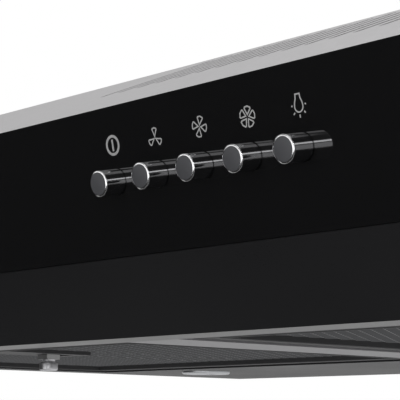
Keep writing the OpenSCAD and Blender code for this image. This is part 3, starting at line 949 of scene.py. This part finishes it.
@dataclass
class Screws:
    """Pan head screws with a cross recess."""

    groups: dict[str, int] = field(default_factory=lambda: {
        "rear_panel_screws": -1, "collar_screws": 1,
    })
    reach: float = 8 * MM

    def build(self) -> None:
        """Replaces each group of upright screws."""
        for node, up in self.groups.items():
            bm = bmesh.new()
            for low, high in self.spots(node):
                self.screw(bm, low, high, up)
            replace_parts(make_piece(f"{node}_cross", bm, ZINC, "canopy"), node)

    def spots(self, node: str) -> list[tuple[Vector, Vector]]:
        """Boxes of the separate screws in a node.

        Args:
            node: the CAD node.

        Returns:
            The lowest and highest corner of each screw.
        """
        found: list[tuple[Vector, Vector]] = []
        for vert in frame["nodes"][node].data.vertices:
            point = vert.co
            near = next((box for box in found if (box[0] - point).xy.length < self.reach), None)
            if near is None:
                found.append((point.copy(), point.copy()))
                continue
            for axis in range(3):
                near[0][axis] = min(near[0][axis], point[axis])
                near[1][axis] = max(near[1][axis], point[axis])
        return found

    def screw(self, bm: bmesh.types.BMesh, low: Vector, high: Vector, up: int) -> None:
        """Adds one screw.

        Args:
            bm: the mesh to add to.
            low: the screw's lowest corner.
            high: its highest corner.
            up: 1 if its head is on top, -1 if it hangs.
        """
        radius = (high.x - low.x) / 2
        head, length = 0.7 * radius, high.z - low.z
        seat = high.z - head if up > 0 else low.z + head
        place = upright(low, high, seat)
        if up < 0:
            place = place @ Matrix.Rotation(math.pi, 4, "X")
        shank = 0.5 * radius
        rim = lathe(bm, [
            (0, head - length), (shank, head - length), (shank, 0), (radius, 0),
            *arc(0.62 * radius, 0.32 * radius, 0.38 * radius, 0, 80, 6), (0.5 * radius, head),
        ], place, 40)
        arm, half = 0.38 * radius, 0.09 * radius
        quarter = [(half, half), (half, arm), (-half, arm)]
        outline: list[Vector] = []
        for turn in range(4):
            spin = Matrix.Rotation(turn * math.pi / 2, 3, "Z")
            outline += [spin @ Vector((x, y, 0)) for x, y in quarter]
        top = [bm.verts.new(place @ (p + Vector((0, 0, head)))) for p in outline]
        floor = [bm.verts.new(place @ (p * 0.7 + Vector((0, 0, 0.45 * head)))) for p in outline]
        loops = [bm.edges.get((a, b)) for a, b in zip(rim, rim[1:] + rim[:1])]
        loops += [bm.edges.new((a, b)) for a, b in zip(top, top[1:] + top[:1])]
        bmesh.ops.triangle_fill(bm, use_beauty=True, edges=loops)
        for i in range(len(top)):
            j = (i + 1) % len(top)
            bm.faces.new((top[i], top[j], floor[j], floor[i]))
        bm.faces.new(floor)


def level_square(name: str, half: float) -> bpy.types.Object:
    """Adds a level square that is centred on the origin.

    Args:
        name: the piece's name.
        half: half of its side.

    Returns:
        The new object.
    """
    bm = bmesh.new()
    bmesh.ops.create_grid(bm, x_segments=1, y_segments=1, size=half)
    mesh = bpy.data.meshes.new(name)
    bm.to_mesh(mesh)
    bm.free()
    made = bpy.data.objects.new(name, mesh)
    bpy.context.scene.collection.objects.link(made)
    return made


@dataclass(frozen=True)
class Softbox:
    """A soft rectangular light, placed from the aimed part of the panel and facing it."""

    name: str
    offset: tuple[float, float, float]
    size: tuple[float, float]
    power: float


@dataclass(frozen=True)
class Card:
    """A black card for reflections, placed from the aimed part of the panel."""

    name: str
    offset: tuple[float, float, float]
    size: tuple[float, float]
    faces_up: bool = False


@dataclass
class Studio:
    """Camera, soft lights, dark cards, sky and floor."""

    aim_across: float = 45.1 * MM
    aim_down: float = 12.3 * MM
    distance: float = 0.5479
    azimuth: float = 47.83
    elevation: float = -8.81
    roll: float = 0.36
    lens: float = 134.1
    floor_z: float = -6.0
    floor_reach: float = 100.0
    sky_front: float = 0.12
    sky_back: float = 0.75
    sky_top: float = 1.0
    boxes: tuple[Softbox, ...] = (
        Softbox("front_box", (-0.12, -1.3, -0.1), (0.8, 1.1), 3.0),
        Softbox("left_box", (-0.755, -0.838, 0.41), (1.1, 0.34), 1.3),
        Softbox("high_box", (0.0, -0.98, 0.69), (0.5, 0.18), 0.4),
        Softbox("right_box", (0.72, -0.74, -0.2), (0.6, 0.42), 1.1),
        Softbox("camera_strip", (0.679, -0.722, 0.127), (0.5, 0.13), 1.5),
        Softbox("top_box", (0.0, 0.2, 1.4), (1.4, 1.0), 3.0),
    )
    cards: tuple[Card, ...] = (
        Card("dark_card", (-0.9521, -0.8689, -0.221), (1.3, 0.87)),
        Card("low_card", (-0.1, -0.55, -0.45), (1.5, 0.9), faces_up=True),
        Card("left_card", (-1.194, -0.06, 0.0), (0.62, 0.9)),
    )

    def heading(self) -> Vector:
        """Works out the view's direction.

        Returns:
            The unit vector from the panel to the camera.
        """
        a, e = math.radians(self.azimuth), math.radians(self.elevation)
        return Vector((math.sin(a) * math.cos(e), -math.cos(a) * math.cos(e), math.sin(e)))

    def camera(self, panel: PanelFrame) -> None:
        """Places the camera at the fitted view of the buttons.

        Args:
            panel: the control panel's axes.
        """
        data = bpy.data.cameras.new("camera")
        data.lens = self.lens
        data.sensor_width = 36.0
        data.clip_start = 0.02
        data.clip_end = 200.0
        eye = bpy.data.objects.new("camera", data)
        bpy.context.scene.collection.objects.link(eye)
        target = panel.at(self.aim_across, -self.aim_down)
        eye.location = target + self.heading() * self.distance
        look = (target - eye.location).to_track_quat("-Z", "Y")
        eye.rotation_mode = "QUATERNION"
        eye.rotation_quaternion = look @ Matrix.Rotation(math.radians(self.roll), 3,
                                                         "Z").to_quaternion()
        bpy.context.scene.camera = eye

    def softbox(self, box: Softbox, aim: Vector) -> None:
        """Adds a soft light that the camera doesn't see.

        Args:
            box: its name, place, size and power in watts.
            aim: the point that it faces.
        """
        data = bpy.data.lights.new(box.name, "AREA")
        data.shape = "RECTANGLE"
        data.size, data.size_y = box.size
        data.energy = box.power
        lamp = bpy.data.objects.new(box.name, data)
        bpy.context.scene.collection.objects.link(lamp)
        lamp.location = aim + Vector(box.offset)
        lamp.rotation_mode = "QUATERNION"
        lamp.rotation_quaternion = (-Vector(box.offset)).to_track_quat("-Z", "Y")
        lamp.visible_camera = False

    def card(self, card: Card, aim: Vector) -> None:
        """Adds a card that darkens reflections and is seen in nothing else.

        Args:
            card: its name, place and size.
            aim: the point that it is placed from.
        """
        made = level_square(card.name, 0.5)
        facing = Vector((0, 0, 1)) if card.faces_up else -Vector(card.offset)
        turn = facing.to_track_quat("-Z", "Y").to_matrix().to_4x4()
        place = Matrix.Translation(aim + Vector(card.offset))
        made.matrix_world = place @ turn @ Matrix.Diagonal((*card.size, 1, 1))
        made.data.materials.append(Finish("card_black", (0.004, 0.004, 0.004), 0.9).material())
        for ray in ("camera", "diffuse", "shadow", "transmission"):
            setattr(made, f"visible_{ray}", False)

    def floor(self) -> None:
        """Adds a wide, plain pale floor."""
        floor = level_square("floor", self.floor_reach)
        floor.location.z = self.floor_z
        floor.data.materials.append(Finish("pale_floor", (0.86, 0.86, 0.86), 0.8, scale=6,
                                           colour_spread=0.01, bump=0.0).material())

    def sky(self) -> None:
        """Makes a sky that is bright behind and over the hood, and plain white to the camera."""
        world = bpy.data.worlds.new("studio")
        bpy.context.scene.world = world
        world.use_nodes = True
        graph = Graph(world.node_tree)
        out = graph.add("ShaderNodeOutputWorld")
        place = graph.add("ShaderNodeTexCoord")
        parts = graph.add("ShaderNodeSeparateXYZ")
        graph.link(place.outputs["Generated"], parts.inputs["Vector"])
        shade = graph.add("ShaderNodeMapRange", From_Min=-0.5, From_Max=0.35,
                          To_Min=self.sky_front, To_Max=self.sky_back)
        graph.link(parts.outputs["Y"], shade.inputs["Value"])
        above = graph.add("ShaderNodeMapRange", From_Min=0.65, From_Max=0.9, To_Min=0.0,
                          To_Max=self.sky_top)
        graph.link(parts.outputs["Z"], above.inputs["Value"])
        total = graph.add("ShaderNodeMath", {"operation": "ADD"})
        graph.link(shade.outputs["Result"], total.inputs[0])
        graph.link(above.outputs["Result"], total.inputs[1])
        soft = graph.add("ShaderNodeBackground")
        graph.link(total.outputs[0], soft.inputs["Strength"])
        plain = graph.add("ShaderNodeBackground", Color=(1, 1, 1, 1), Strength=1.0)
        path = graph.add("ShaderNodeLightPath")
        mix = graph.add("ShaderNodeMixShader")
        graph.link(path.outputs["Is Camera Ray"], mix.inputs["Fac"])
        graph.link(soft.outputs[0], mix.inputs[1])
        graph.link(plain.outputs[0], mix.inputs[2])
        graph.link(mix.outputs[0], out.inputs["Surface"])

    def build(self, panel: PanelFrame) -> None:
        """Sets the whole stage.

        Args:
            panel: the control panel's axes.
        """
        scene = bpy.context.scene
        scene.view_settings.view_transform = "Standard"
        self.camera(panel)
        self.floor()
        self.sky()
        aim = panel.at(self.aim_across, 0)
        for box in self.boxes:
            self.softbox(box, aim)
        for card in self.cards:
            self.card(card, aim)


def main() -> None:
    """Builds every sub-assembly in order."""
    logging.basicConfig(level=logging.INFO, format="%(name)s: %(message)s")
    panel = PanelFrame()
    Studio().build(panel)
    dressing = CadDressing()
    dressing.build()
    dressing.dress()
    Buttons().build(panel)
    PanelSymbols().build(panel)
    Filters().build()
    Lamps().build()
    Screws().build()


if __name__ == "__main__":
    main()
